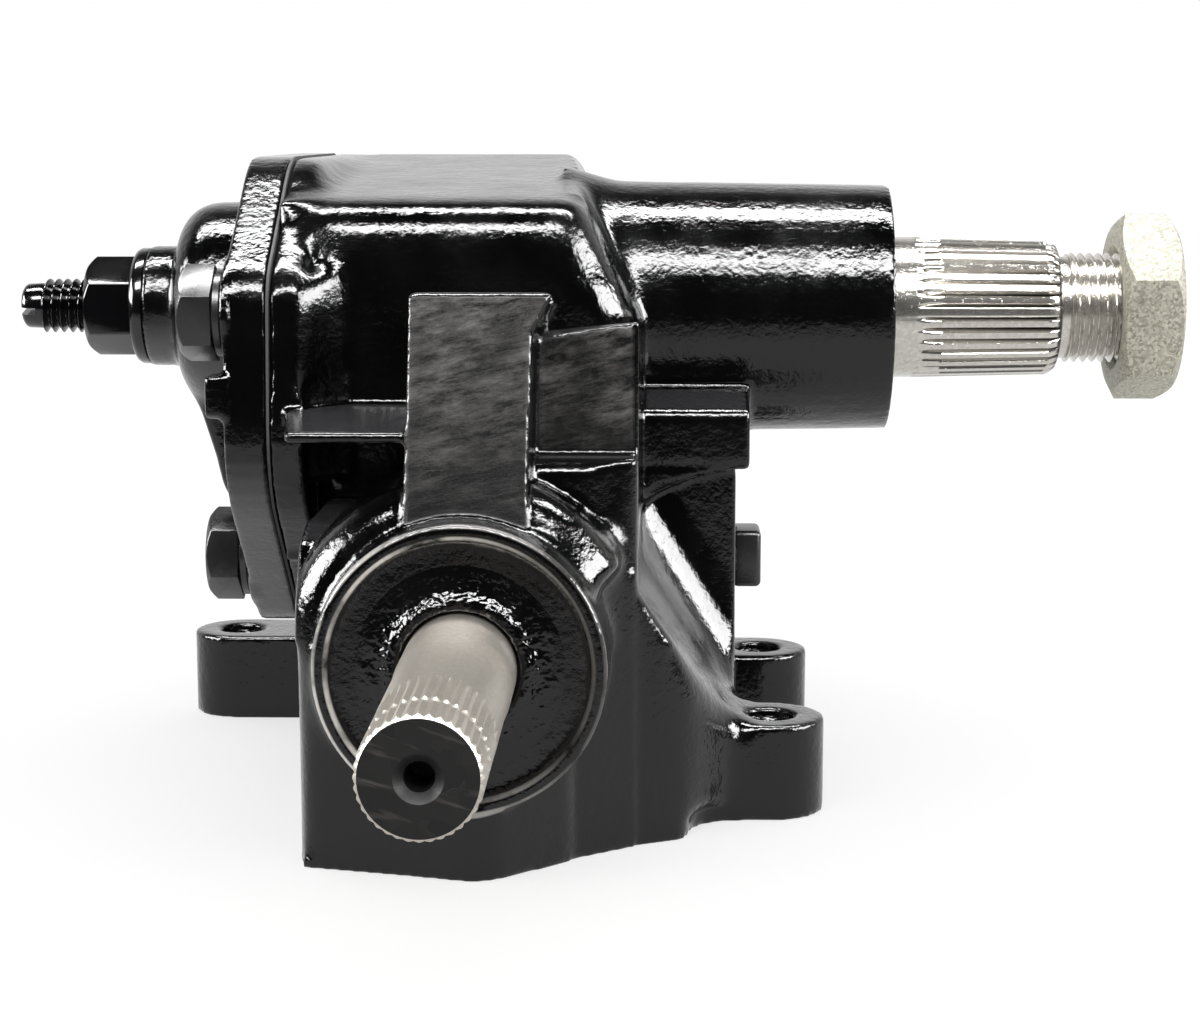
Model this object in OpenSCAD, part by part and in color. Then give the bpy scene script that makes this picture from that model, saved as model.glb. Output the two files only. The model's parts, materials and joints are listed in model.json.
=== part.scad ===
// Recirculating-ball steering gear. X runs along the pitman shaft towards its nut, Y runs along the worm
// away from the input end, and Z = 0 is the plane of the three mounting feet.

/* [Axes] */
// Height of the worm axis above the mounting plane
worm_z = 36.5; // [36:0.25:37.5]
// Distance between the worm axis and the sector axis
centre_distance = 54.5; // [54:0.25:55]

/* [Gear mesh] */
// Pitch radius of the sector teeth
sector_pitch_r = 27; // [26.5:0.25:27.5]
// Worm turns for each turn of the pitman shaft
gear_ratio = 16; // [15.5:0.25:16.5]
// Pressure angle of the sector and the rack
pressure_angle = 25; // [22:1:27]
// Width of the sector teeth along the shaft
sector_w = 26; // [22:1:26]

/* [Pitman shaft] */
// Radius of the journal in the housing bushings
pitman_r = 14.2; // [13.8:0.1:14.3]
// Far end of the output boss
boss_end = 79.4; // [77:0.2:80]
// Far end of the spline
spline_end = 113.6; // [112:0.2:115]
// Number of spline teeth
spline_teeth = 36; // [32:4:40]
// Radius of the thread
pitman_thread_r = 11.1; // [10.5:0.1:11.3]
// Width across the flats of the pitman nut
pitman_nut_af = 33.3; // [32:0.1:35]

/* [Input shaft] */
// Radius of the shaft
input_r = 9.525; // [9.4:0.025:9.6]
// Front end of the shaft, measured from the sector axis
input_end = -169; // [-172:0.5:-165]
// Length of the serrated end
serration_l = 26; // [22:1:28]

/* [Side cover] */
// Thickness of the cover plate
cover_t = 8; // [7:0.25:8.5]
// Radius of the dome over the end of the pitman shaft
dome_r = 20.8; // [20:0.2:21.5]
// Width across the flats of the cover bolts
bolt_af = 16; // [15:0.1:16.5]

/* [Feet] */
// Thickness of the three feet
foot_t = 18; // [16:0.5:20]
// End radius of the feet
foot_r = 10.25; // [9.5:0.25:10.5]
// Radius of the tapped holes in the feet
foot_hole_r = 4.65; // [4:0.05:5]
// Distance between the two right feet
right_foot_gap = 61.6; // [60:0.1:63]

/* [Hidden] */
$fn = 64;
sector_z = worm_z + centre_distance;
eps = 0.01;
run_fit = 0.05;

// Planes across the gear, along X
plate_x = -38.5;
gasket_t = 0.5;
flange_x = plate_x + gasket_t;
flange_t = 6.2;
cover_x = plate_x - cover_t;
dome_x = -63.8;
adjuster_boss_x = -70.3;
body_left = -29;
body_right = 30;
wall_x = 16.5;
block_right = 48.6;
slab_right = 51;

// Planes along the gear, along Y
front_y = -92.5;
nose_y = -92;
ring_y = -99;
disc_y = -97.6;
chamber_y = 46;
tunnel_l = 54;
barrel_end = 78;
body_back = 62;
block_y = 25;
slab_y = 33;

// Levels of the casting, along Z
shelf_z = 58;
tunnel_top = 62;
chamber_top = 122.5;
slab_top = 73.2;
toe_top = 46.3;
rib_z = [74.1, 75.9];
ledge_z = 70.3;
pad_top = 99.5;

// Front face: rounded nose with a ring round the input shaft
ring_r = 25.2;
nose_r = 32;
disc_r = 22.6;
collar_r = 15.5;
barrel_r = 30;

// Bores inside the housing
tunnel_r = 21;
sector_clear_r = 32.5;
front_bore_r = 20;
rear_bore_r = 24;
input_lip_r = 10.3;
input_seal_r = 14;
input_seal_y = [-95, -87];
shaft_room_r = 12;
bushing_r = 17;
seal_r = 19;
seal_x = 71;
bolt_hole_depth = 8;
fill_z = 39.8;

// Cover outline in Y and Z with a corner radius each
cover_outline = [[-22, 121.5, 25], [-54.5, 99.5, 10], [-57.5, 62, 22], [-20, 29, 14], [14, 29, 14],
                 [50, 66, 14], [58, 121.5, 14]];
bolt_sites = [[-46, 93], [-22, 43.5], [46, 108]];
bolt_turns = [7, -8, 12];
bolt_r = 4.7;
bolt_head_t = 6.4;
washer_t = 1.9;
washer_r = 8.2;
bolt_pad_t = 0.5;
bolt_pad_r = 10;
bolt_seat = cover_x - bolt_pad_t - washer_t;

// Feet
right_foot = [54.5, -50];
left_foot = [-58.3, 29];
foot_sites = [right_foot, right_foot + [0, right_foot_gap], left_foot];

// Adjuster at the cover
adjuster_r = 5.55;
adjuster_tip = -96.6;
locknut_x = [-83, -73.2];
head_r = 7.2;
slot_x = -56.6;
slot_depth_x = -52;
cover_journal_r = 11;
journal_end = -60;
cover_bushing_r = 13.5;

// Gear mesh
tooth_module = 2 * sector_pitch_r / 12;
addendum = 0.8 * tooth_module;
dedendum = tooth_module;
backlash = 0.4;
base_r = sector_pitch_r * cos(pressure_angle);
rack_pitch_z = sector_z - sector_pitch_r;
tooth_pitch = PI * tooth_module;
tooth_step = 30;

// Worm, balls and nut
lead = 2 * PI * sector_pitch_r / gear_ratio;
ball_r = 2.9;
ball_circle_r = 11.5;
groove_r = 3.3;
worm_r = 10.9;
worm_half = 46;
core_r = 6.8;
nut_r = 19;
nut_half = 27;
nut_bore_r = 14.75;
rack_half = 23.5;
rack_half_w = 12;
guide_bend_r = 5;
guide_r = 3;
guide_y = 12;
guide_z = worm_z - nut_r - 0.2;
clamp_screw_x = [-6.5, 6.5];
clamp_screw_r = 2;
clamp_bottom = guide_z - guide_bend_r - guide_r - 1.6;

// Worm bearings
bearing_front = -66;
bearing_rear = 56;
bearing_l = 10;
bearing_ball_r = 2.5;
bearing_count = 12;
race_t = 2;
race_gap = 0.3;
rear_cup_r = 18;
front_circle_r = front_bore_r - race_t - bearing_ball_r - race_gap;
rear_circle_r = rear_cup_r - race_t - bearing_ball_r - race_gap;
plug_end = 88;

// Seal running surface of the input shaft
seal_surface_r = input_r + 0.3;
seal_surface_y = -114.4;
press_gap = 0.03;

black_paint = [0.05, 0.05, 0.055];
steel = [0.72, 0.72, 0.7];
bright_steel = [0.82, 0.82, 0.8];
zinc = [0.75, 0.74, 0.7];
bronze = [0.7, 0.55, 0.3];
seal_rubber = [0.12, 0.12, 0.12];
gasket_paper = [0.35, 0.3, 0.22];

// Outlines with rounded corners: each corner is [u, v, radius]
function unit(v) = v / norm(v);
function xy(p) = [p[0], p[1]];
function corner_arc(a, b, c, r, n = 6) =
    let (u = unit(a - b), w = unit(c - b), half = acos(u * w) / 2)
    let (mid = b + unit(u + w) * r / sin(half), from = b + u * r / tan(half), to = b + w * r / tan(half))
    let (a0 = atan2(from[1] - mid[1], from[0] - mid[0]), a1 = atan2(to[1] - mid[1], to[0] - mid[0]))
    let (turn = (a1 - a0 + 540) % 360 - 180)
    [for (i = [0:n]) mid + r * [cos(a0 + turn * i / n), sin(a0 + turn * i / n)]];
function rounded(pts) =
    let (n = len(pts))
    [for (i = [0:n - 1])
        let (b = pts[i])
        each b[2] == 0 ? [xy(b)] : corner_arc(xy(pts[(i + n - 1) % n]), xy(b), xy(pts[(i + 1) % n]), b[2])];

// Solids along an axis
module along_x(x0, x1, r1, r2 = undef) {
    translate([x0, 0, 0]) rotate([0, 90, 0]) cylinder(h = x1 - x0, r1 = r1, r2 = is_undef(r2) ? r1 : r2);
}
module along_y(y0, y1, r1, r2 = undef) {
    translate([0, y0, 0]) rotate([-90, 0, 0]) cylinder(h = y1 - y0, r1 = r1, r2 = is_undef(r2) ? r1 : r2);
}
module box(low, high) {
    translate(low) cube(high - low);
}
module yz_slab(pts, x0, x1) {
    translate([x0, 0, 0]) rotate([90, 0, 90]) linear_extrude(x1 - x0) polygon(pts);
}
module xz_slab(pts, y0, y1) {
    translate([0, y1, 0]) rotate([90, 0, 0]) linear_extrude(y1 - y0) polygon(pts);
}
module xy_slab(pts, z0, z1) {
    translate([0, 0, z0]) linear_extrude(z1 - z0) polygon(pts);
}
module at_sector() {
    translate([0, 0, sector_z]) children();
}
module at_worm() {
    translate([0, 0, worm_z]) children();
}
module ring_x(x0, x1, r_out, r_in) {
    difference() {
        along_x(x0, x1, r_out);
        along_x(x0 - 1, x1 + 1, r_in);
    }
}
module ring_y(y0, y1, r_out, r_in) {
    difference() {
        along_y(y0, y1, r_out);
        along_y(y0 - 1, y1 + 1, r_in);
    }
}
// Hexagon along X with its corners turned off at the outer face
module hex_x(x0, x1, af, turn = 0, chamfer_low = 1, chamfer_high = 1) {
    corner_r = af / sqrt(3);
    intersection() {
        translate([x0, 0, 0]) rotate([0, 90, 0]) rotate(turn) cylinder(h = x1 - x0, r = corner_r, $fn = 6);
        union() {
            along_x(x0, x0 + chamfer_low, af / 2 * 0.97, corner_r + eps);
            along_x(x0 + chamfer_low, x1 - chamfer_high, corner_r + eps);
            along_x(x1 - chamfer_high, x1, corner_r + eps, af / 2 * 0.97);
        }
    }
}
module at_bolts() {
    for (p = bolt_sites) translate([0, p[0], p[1]]) children();
}

// Upper part of the casting, round the sector: its top falls towards the front
module chamber() {
    front_top = 113.2;
    top_right = 15;
    lean = atan((body_right - top_right) / (chamber_top - sector_z));
    lean_x = top_right * cos(lean) + chamber_top * sin(lean);
    intersection() {
        yz_slab(rounded([[-chamber_y, 45, 0], [-chamber_y, front_top, 9], [chamber_y, chamber_top, 10],
                         [chamber_y, 45, 0]]), flange_x, body_right);
        xz_slab(rounded([[flange_x, 45, 0], [flange_x, chamber_top, 0], [top_right, chamber_top, 9],
                         [body_right, sector_z, 6], [body_right, 45, 0]]), -chamber_y - 1, chamber_y + 1);
        xy_slab(rounded([[flange_x, -40, 0], [flange_x + flange_t, -40, 0],
                         [flange_x + flange_t, -chamber_y, 5.5], [body_right, -chamber_y, 12],
                         [body_right, chamber_y, 12], [flange_x, chamber_y, 0]]), 45, chamber_top + 1);
        // Rounding along the leaning right side
        rotate([0, -lean, 0]) xy_slab(rounded([[-120, -chamber_y, 0], [lean_x, -chamber_y, 10],
                                               [lean_x, chamber_y, 10], [-120, chamber_y, 0]]), -20, 180);
    }
}
module cover_flange() {
    boss_l = bolt_hole_depth + 3;
    yz_slab(rounded(cover_outline), flange_x, flange_x + flange_t);
    // Bosses that carry the threads of the lower and the rear bolt
    for (i = [1, 2]) translate([0, bolt_sites[i][0], bolt_sites[i][1]])
        along_x(flange_x, flange_x + boss_l, bolt_pad_r);
    // Shoulder that carries the thread of the front bolt and runs out in the front wall
    intersection() {
        xy_slab(rounded([[flange_x, -40, 0], [flange_x, -55, 0], [-33.2, -55, 4], [-24, -45.5, 8],
                         [-16, -45.5, 0], [-16, -40, 0]]), tunnel_top, 110);
        xz_slab([[flange_x, 60], [flange_x, 97], [-31.5, 99.5], [-27, 102], [-22, 104], [-16, 104], [-16, 60]],
                -60, -38);
    }
    // Neck from the flange to the tunnel
    yz_slab(rounded([[-40, 60, 10], [-16, 36, 12], [12, 36, 12], [44, 66, 10], [44, 100, 0], [-40, 100, 0]]),
            flange_x, body_left + 6);
}
module output_boss() {
    at_sector() {
        along_x(15, boss_end, 25.6, 24.6);
        along_x(14, 25, 28.5, 25.4);
    }
}
// Tunnel round the worm with its front block, chin and rear barrel
module tunnel() {
    chin_top = 30;
    xz_slab(rounded([[body_left, 0, 2], [body_left, tunnel_top, 3], [body_right, tunnel_top, 3],
                     [body_right, 0, 2]]), -40, body_back);
    at_worm() along_y(body_back - 22, barrel_end, barrel_r);
    box([-22, 0, 0], [22, barrel_end - 4, 20]);
    // Left half of the front block, with the shelf on top
    intersection() {
        xy_slab(rounded([[body_left, front_y, 6], [1, front_y, 0], [1, -39, 0], [body_left, -39, 0]]),
                0, shelf_z);
        yz_slab(rounded([[front_y, 0, 2], [front_y, 44, 30], [-83, 56, 4], [-76, shelf_z, 3],
                         [-39, shelf_z, 0], [-39, 0, 0]]), body_left, 1);
    }
    // Right half, cut back towards the right, and the wall above it
    xy_slab(rounded([[0, front_y, 0], [10, front_y, 10], [body_right, -77.5, 2], [body_right, -39, 0],
                     [0, -39, 0]]), 0, 50);
    intersection() {
        xy_slab(rounded([[0, -79.6, 0], [21, -79.6, 0], [body_right, -77.5, 2], [body_right, -39, 0],
                         [0, -39, 0]]), 20, ledge_z);
        yz_slab(rounded([[-80, 20, 0], [-80, ledge_z, 4.5], [-39, ledge_z, 0], [-39, 20, 0]]), 0, body_right);
    }
    // Chin below the shaft, which falls back upwards
    intersection() {
        xy_slab(rounded([[-28, front_y + 0.5, 0], [-12, -96, 8], [4, -100.5, 8], [20, -86, 10], [20, -70, 0],
                         [-28, -70, 0]]), 0, chin_top);
        yz_slab([[-101, -1], [-101, 8], [front_y + 0.5, chin_top], [-70, chin_top], [-70, -1]], -30, 30);
    }
    // Ring round the shaft
    at_worm() rotate([-90, 0, 0]) rotate_extrude()
        polygon(rounded([[0, -70, 0], [ring_r, -70, 0], [ring_r, ring_y, 0.6], [0, ring_y, 0]]));
    // Nose round the ring, cut off along a slant on the right
    intersection() {
        at_worm() rotate([-90, 0, 0]) rotate_extrude()
            polygon(rounded([[0, -60, 0], [nose_r, -60, 0], [nose_r, nose_y, 7], [0, nose_y, 0]]));
        xz_slab([[body_left, 0], [12, 0], [12, 40], [body_right, 54], [body_right, 80], [body_left, 80]],
                -110, -50);
    }
}
// Rib, pad and right wing on the front: their tops fall a little towards the chamber
module front_ribs() {
    rib_front = -89.5;
    wing_y = -75;
    intersection() {
        xz_slab(rounded([[-10.2, 50, 0], [-9.2, pad_top, 1], [15.6, pad_top, 0], [12, 92.5, 6], [11, 50, 0]]),
                -100, -40);
        yz_slab([[-93.5, 55], [-85, pad_top], [-40, pad_top - 5], [-40, 55]], -20, 20);
    }
    xy_slab([[-30.2, rib_front], [-9, rib_front], [-9, -40], [flange_x + 1, -40], [flange_x + 1.5, -47]],
            rib_z[0], rib_z[1]);
    intersection() {
        xz_slab([[10, 40], [10, 90.5], [body_right, 93.8], [body_right, 40]], wing_y, -40);
        yz_slab([[wing_y, 40], [wing_y, 93.8], [-40, 87], [-40, 40]], 9, body_right + 1);
    }
}
// Block on the right of the tunnel with its shelf under the output boss
module right_block() {
    xz_slab(rounded([[20, 0, 0], [20, tunnel_top, 0], [block_right, tunnel_top, 2], [block_right, 0, 2]]),
            -block_y, block_y);
    yz_slab(rounded([[-slab_y, tunnel_top - 0.2, 2], [-slab_y, slab_top, 2], [-19, slab_top + 4.3, 0],
                     [19, slab_top + 4.3, 0], [slab_y, slab_top, 2], [slab_y, tunnel_top - 0.2, 2]]),
            22, slab_right);
    // Gusset below the front of the shelf
    xz_slab(rounded([[24, tunnel_top, 0], [24, 53, 0], [body_right, 55, 0], [40, 60.3, 12],
                     [block_right, tunnel_top, 0]]), -slab_y, -block_y + 1);
    // Wedge down to the front right foot, with a toe beside the tunnel
    foot_front = right_foot[1] - foot_r;
    foot_back = right_foot[1] + foot_r;
    ramp_foot_x = 47.8;
    ramp_turn = atan2(toe_top - foot_t, ramp_foot_x - body_right);
    intersection() {
        xz_slab(rounded([[24, 0, 0], [24, toe_top + 9.6, 0], [body_right, toe_top, 0],
                         [ramp_foot_x, foot_t, 10], [66, foot_t, 0], [66, 0, 0]]), -80, -block_y + 1);
        xy_slab(rounded([[24, -79.5, 0], [body_right, -77, 0], [38.5, -73, 5], [41, foot_front - 0.5, 9],
                         [right_foot[0], foot_front, 0], [right_foot[0], foot_back, 0],
                         [block_right, foot_back, 0], [block_right, -24, 0], [24, -24, 0]]), 0, 60);
    }
    // Hollow fillet along the ramp of the wedge, up to the wall of the block
    intersection() {
        translate([body_right, 0, toe_top]) rotate([0, ramp_turn, 0])
            yz_slab([[-38, -4], [-38, 0], [-32.5, 0.8], [-28.5, 3], [-26.2, 6.2], [-25, 11], [-24, 11],
                     [-24, -4]], -8, 34);
        box([24, -40, 0], [block_right, -20, tunnel_top]);
    }
}
module feet() {
    for (p = foot_sites) {
        inner = p[0] > 0 ? 24 : -24;
        translate([p[0], p[1], 0]) cylinder(h = foot_t, r = foot_r);
        box([min(p[0], inner), p[1] - foot_r, 0], [max(p[0], inner), p[1] + foot_r, foot_t]);
    }
    // Web above the left foot
    xz_slab(rounded([[-24, 0, 0], [-46, foot_t, 5], [-30, 34, 5], [-24, 34, 0]]),
            left_foot[1] - foot_r, left_foot[1] + foot_r);
}
module housing_hollow() {
    // Room for the sector, open to the cover
    intersection() {
        at_sector() along_x(flange_x - 1, wall_x, sector_clear_r);
        box([-60, -60, 20], [60, 60, 108]);
    }
    // Room for the rack on the ball nut
    box([-13.5, -42.3, worm_z], [13.5, 42.3, 68.8]);
    at_worm() {
        along_y(-tunnel_l, tunnel_l, tunnel_r);
        along_y(bearing_front - 2, -tunnel_l + 1, front_bore_r);
        along_y(ring_y - 3, input_seal_y[0] + 1, input_lip_r);
        along_y(input_seal_y[0], input_seal_y[1], input_seal_r);
        along_y(input_seal_y[1] - 1, bearing_front, shaft_room_r);
        // Dished disc with a raised collar round the shaft
        difference() {
            along_y(ring_y - 1, disc_y, disc_r);
            along_y(disc_y - 1.6, disc_y + 1, collar_r - 4, collar_r);
        }
        along_y(tunnel_l - 1, barrel_end + 1, rear_bore_r);
    }
    // Room for the return guides under the ball nut
    box([-10.5, -41, 5.6], [10.5, 41, worm_z]);
    at_sector() {
        along_x(wall_x - 1, seal_x, bushing_r);
        along_x(seal_x - 0.5, boss_end + 1, seal_r);
    }
    at_bolts() along_x(flange_x - 1, flange_x + bolt_hole_depth, bolt_r + run_fit);
    for (p = foot_sites) translate([p[0], p[1], -1]) cylinder(h = foot_t + 2, r = foot_hole_r);
    // Filler hole
    translate([0, 0, fill_z]) {
        along_x(36, block_right + 1, 6.2);
        along_x(15, 37, 4);
    }
}
module gear_housing() {
    color(black_paint) difference() {
        union() {
            chamber();
            cover_flange();
            output_boss();
            tunnel();
            front_ribs();
            right_block();
            feet();
        }
        housing_hollow();
    }
}

module side_cover() {
    color(black_paint) difference() {
        union() {
            yz_slab(rounded(cover_outline), cover_x, plate_x);
            at_bolts() along_x(cover_x - bolt_pad_t, cover_x + 1, bolt_pad_r);
            at_sector() {
                translate([dome_x, 0, 0]) rotate([0, 90, 0]) rotate_extrude()
                    polygon(rounded([[0, 0, 0], [dome_r, 0, 8], [dome_r + 0.6, 19, 0], [0, 19, 0]]));
                along_x(adjuster_boss_x, dome_x + 1, 12.2);
            }
            // Web that runs out from the dome downwards
            xz_slab([[cover_x + 1, 98], [dome_x + 1, 84], [-62, 75], [-59.8, 69.6], [-57, 60.5], [-55.6, 54],
                     [-51, 48], [cover_x + 1, 46]], -8, 8);
            // Small lug on the front edge
            box([cover_x - 3.3, -57, 74.3], [cover_x + 1, -50, 82.2]);
        }
        at_sector() {
            along_x(journal_end - 0.8, plate_x + 1, cover_bushing_r);
            along_x(adjuster_boss_x - 1, journal_end, adjuster_r + run_fit);
        }
        at_bolts() along_x(cover_x - bolt_pad_t - 1, plate_x + 1, bolt_r + 0.2);
    }
}
module side_cover_gasket() {
    color(gasket_paper) difference() {
        yz_slab(rounded(cover_outline), plate_x, flange_x);
        intersection() {
            at_sector() along_x(plate_x - 1, flange_x + 1, sector_clear_r);
            box([-60, -60, 20], [60, 60, 108]);
        }
        at_bolts() along_x(plate_x - 1, flange_x + 1, bolt_r + 0.2);
    }
}
module cover_bolts() {
    color(black_paint) for (i = [0:len(bolt_sites) - 1]) translate([0, bolt_sites[i][0], bolt_sites[i][1]]) {
        hex_x(bolt_seat - bolt_head_t, bolt_seat, bolt_af, bolt_turns[i], 1, 0.2);
        along_x(bolt_seat - 0.1, flange_x + bolt_hole_depth - 1, bolt_r);
    }
}
module cover_bolt_washers() {
    color(steel) at_bolts() ring_x(bolt_seat, bolt_seat + washer_t, washer_r, bolt_r + 0.2);
}
module adjuster_locknut() {
    color(black_paint) at_sector() {
        difference() {
            union() {
                hex_x(locknut_x[0], locknut_x[1], 17.5, 0, 1.4, 0.2);
                along_x(locknut_x[1] - 0.1, adjuster_boss_x, 11.8);
            }
            along_x(locknut_x[0] - 1, adjuster_boss_x + 1, adjuster_r + run_fit);
        }
    }
}
module lash_adjuster_screw() {
    color(black_paint) at_sector() difference() {
        union() {
            along_x(adjuster_tip, adjuster_tip + 0.8, 4, 4.6);
            along_x(adjuster_tip + 0.8, adjuster_tip + 4.3, 4.6);
            along_x(adjuster_tip + 4.3, slot_x + 0.5, adjuster_r);
            along_x(slot_x + 0.3, -53.6, head_r);
        }
        rotate([12, 0, 0]) box([adjuster_tip - 1, -10, -0.7], [adjuster_tip + 3, 10, 0.7]);
    }
}
module lash_shim() {
    color(steel) at_sector() along_x(-53.55, slot_depth_x - 0.3, head_r);
}
module cover_bushing() {
    color(bronze) at_sector() ring_x(journal_end, plate_x, cover_bushing_r, cover_journal_r + run_fit);
}
module inner_pitman_bushing() {
    color(bronze) at_sector() ring_x(wall_x + 5, 44, bushing_r, pitman_r + run_fit);
}
module outer_pitman_bushing() {
    color(bronze) at_sector() ring_x(48, seal_x - 0.5, bushing_r, pitman_r + run_fit);
}
module pitman_shaft_seal() {
    color(seal_rubber) at_sector() ring_x(seal_x, boss_end - 1.2, seal_r, pitman_r + run_fit);
}
module input_shaft_seal() {
    color(seal_rubber) at_worm()
        ring_y(input_seal_y[0] + 0.05, input_seal_y[1] - 0.1, input_seal_r, seal_surface_r + run_fit);
}

// Involute flank of the sector tooth, from the base circle out
function involute(r) = let (t = acos(base_r / r)) tan(t) * 180 / PI - t;
function half_tooth(r) =
    (tooth_pitch / 2 - backlash / 2) / sector_pitch_r / 2 * 180 / PI + involute(sector_pitch_r) - involute(r);
module sector_tooth() {
    tip_r = sector_pitch_r + addendum;
    root_r = sector_pitch_r - dedendum;
    steps = 6;
    radii = [for (i = [0:steps]) base_r + 0.01 + (tip_r - base_r - 0.01) * i / steps];
    side = [for (r = radii) r * [sin(half_tooth(r)), -cos(half_tooth(r))]];
    other = [for (i = [steps:-1:0]) [-side[i][0], side[i][1]]];
    foot_a = half_tooth(radii[0]);
    polygon(concat([(root_r - 2) * [sin(foot_a), -cos(foot_a)]], side, other,
                   [(root_r - 2) * [-sin(foot_a), -cos(foot_a)]]));
}
module sector_teeth() {
    root_r = sector_pitch_r - dedendum;
    translate([-sector_w / 2, 0, 0]) rotate([90, 0, 90]) linear_extrude(sector_w) {
        for (k = [-1:1]) rotate(k * tooth_step) sector_tooth();
        intersection() {
            circle(r = root_r);
            polygon([[0, 0], [-32, -26], [-12, -40], [12, -40], [32, -26]]);
        }
        circle(r = 16.5);
    }
}
// Spline with a wide tooth every quarter turn
module pitman_spline(x0, x1) {
    step = 360 / spline_teeth;
    root_r = pitman_r - 1.1;
    quarter = spline_teeth / 4;
    pts = [for (i = [0:spline_teeth - 1])
        let (wide = i % quarter == 0 ? 0.46 : 0.28)
        each [(root_r) * [cos((i - 0.5) * step), sin((i - 0.5) * step)],
              pitman_r * [cos((i - wide) * step), sin((i - wide) * step)],
              pitman_r * [cos((i + wide) * step), sin((i + wide) * step)]]];
    intersection() {
        yz_slab(pts, x0, x1);
        along_x(x0 - 1, x1 + 1, pitman_r - 0.02, pitman_r - 0.67);
    }
}
module sector_shaft() {
    neck_end = boss_end + 6.6;
    color(bright_steel) at_sector() difference() {
        union() {
            along_x(journal_end, 0, cover_journal_r);
            sector_teeth();
            along_x(0, neck_end, pitman_r);
            pitman_spline(neck_end - 0.5, spline_end);
            along_x(spline_end - 1, spline_end + 22.4, pitman_thread_r);
        }
        // T-slot that holds the head of the lash adjuster
        box([journal_end - 1, -30, -5.85], [slot_x + 0.1, 30, 5.85]);
        box([slot_x, -30, -7.5], [slot_depth_x, 30, 7.5]);
    }
}
module pitman_nut() {
    color(zinc) at_sector() difference() {
        hex_x(spline_end + 11.6, spline_end + 23.4, pitman_nut_af, 10, 1.3, 1.3);
        along_x(spline_end + 10, spline_end + 25, pitman_thread_r + run_fit);
    }
}

// Star-shaped bar whose tips lie just under the shaft's own surface
module serrated_bar(y0, y1) {
    teeth = 36;
    pts = [for (i = [0:2 * teeth - 1])
        let (r = i % 2 == 0 ? input_r - 0.02 : input_r - 0.45)
        r * [cos(i * 180 / teeth), sin(i * 180 / teeth)]];
    translate([0, y0, 0]) rotate([-90, 0, 0]) linear_extrude(y1 - y0) polygon(pts);
}
module input_shaft() {
    over_r = input_r + 0.5;
    tip_r = input_r - 1.2;
    neck_r = input_r - 0.9;
    groove_from = 9;
    groove_to = 11;
    color(steel) at_worm() difference() {
        union() {
            // Serrated end with a chamfer and a ring groove
            intersection() {
                serrated_bar(input_end - 1, input_end + serration_l + 1);
                translate([0, input_end, 0]) rotate([-90, 0, 0]) rotate_extrude()
                    polygon([[0, 0], [tip_r, 0], [over_r, 1.5], [over_r, groove_from], [neck_r, groove_from],
                             [neck_r, groove_to], [over_r, groove_to], [over_r, serration_l + 0.5],
                             [0, serration_l + 0.5]]);
            }
            along_y(input_end + serration_l, seal_surface_y + 1, input_r);
            along_y(seal_surface_y, -worm_half - 1, seal_surface_r);
            along_y(-worm_half - 2, bearing_rear + bearing_l + 6, core_r);
        }
        along_y(input_end - 1, input_end + 4, 4.2, 0.6);
    }
}
// Section of the worm: a round bar with a ball groove that winds round it
function groove_depth_r(a) =
    let (offset = lead * a / 360)
    abs(offset) >= groove_r ? worm_r
        : min(worm_r, ball_circle_r - sqrt(groove_r * groove_r - offset * offset));
module worm() {
    points = 20;
    slices_a_turn = 12;
    turns = 2 * worm_half / lead;
    section = [for (i = [0:points - 1])
        let (a = i * 360 / points - 180)
        groove_depth_r(a) * [cos(a), sin(a)]];
    color(steel) at_worm() translate([0, -worm_half, 0]) rotate([-90, 0, 0])
        linear_extrude(2 * worm_half, twist = -360 * turns, slices = ceil(turns * slices_a_turn), $fn = 12)
            difference() {
                polygon(section);
                circle(r = core_r + 0.4, $fn = 12);
            }
}
module circuit_balls(from, to) {
    step = 33;
    color(bright_steel) at_worm() translate([0, -worm_half, 0]) rotate([-90, 0, 0])
        for (a = [from:step:to]) {
            z = worm_half + lead * a / 360;
            turn = 360 * z / lead;
            translate([ball_circle_r * cos(turn), ball_circle_r * sin(turn), z]) sphere(r = ball_r, $fn = 24);
        }
}
module front_circuit_balls() { circuit_balls(-765, -45); }
module rear_circuit_balls() { circuit_balls(45, 765); }

// Rack on the ball nut, in Y and Z
module rack_outline() {
    tip = addendum * tan(pressure_angle);
    root = dedendum * tan(pressure_angle);
    half = tooth_pitch / 4 - backlash / 4;
    for (k = [-1.5:1:1.5]) translate([k * tooth_pitch, rack_pitch_z])
        polygon([[-half - root, -dedendum], [half + root, -dedendum], [half - tip, addendum],
                 [-half + tip, addendum]]);
    translate([-rack_half, worm_z]) square([2 * rack_half, rack_pitch_z - dedendum - worm_z + eps]);
}
module ball_nut() {
    color(steel) difference() {
        union() {
            at_worm() along_y(-nut_half, nut_half, nut_r);
            translate([-rack_half_w, 0, 0]) rotate([90, 0, 90]) linear_extrude(2 * rack_half_w)
                intersection() {
                    rack_outline();
                    translate([-rack_half, 0]) square([2 * rack_half, 200]);
                }
        }
        at_worm() along_y(-nut_half - 1, nut_half + 1, nut_bore_r);
        for (x = clamp_screw_x) translate([x, 0, 0]) cylinder(h = 22, r = clamp_screw_r + run_fit);
        for (s = [-1, 1], k = [-1, 1]) translate([0, s * guide_y + k * guide_bend_r, 10])
            cylinder(h = worm_z - 20, r = guide_r + run_fit);
    }
}
module return_guides() {
    color(steel) for (s = [-1, 1]) translate([0, s * guide_y, guide_z]) {
        rotate([90, 0, 90]) rotate(180) rotate_extrude(angle = 180)
            translate([guide_bend_r, 0]) circle(r = guide_r);
        for (k = [-1, 1]) translate([0, k * guide_bend_r, -eps]) cylinder(h = 3, r = guide_r);
    }
}
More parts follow.
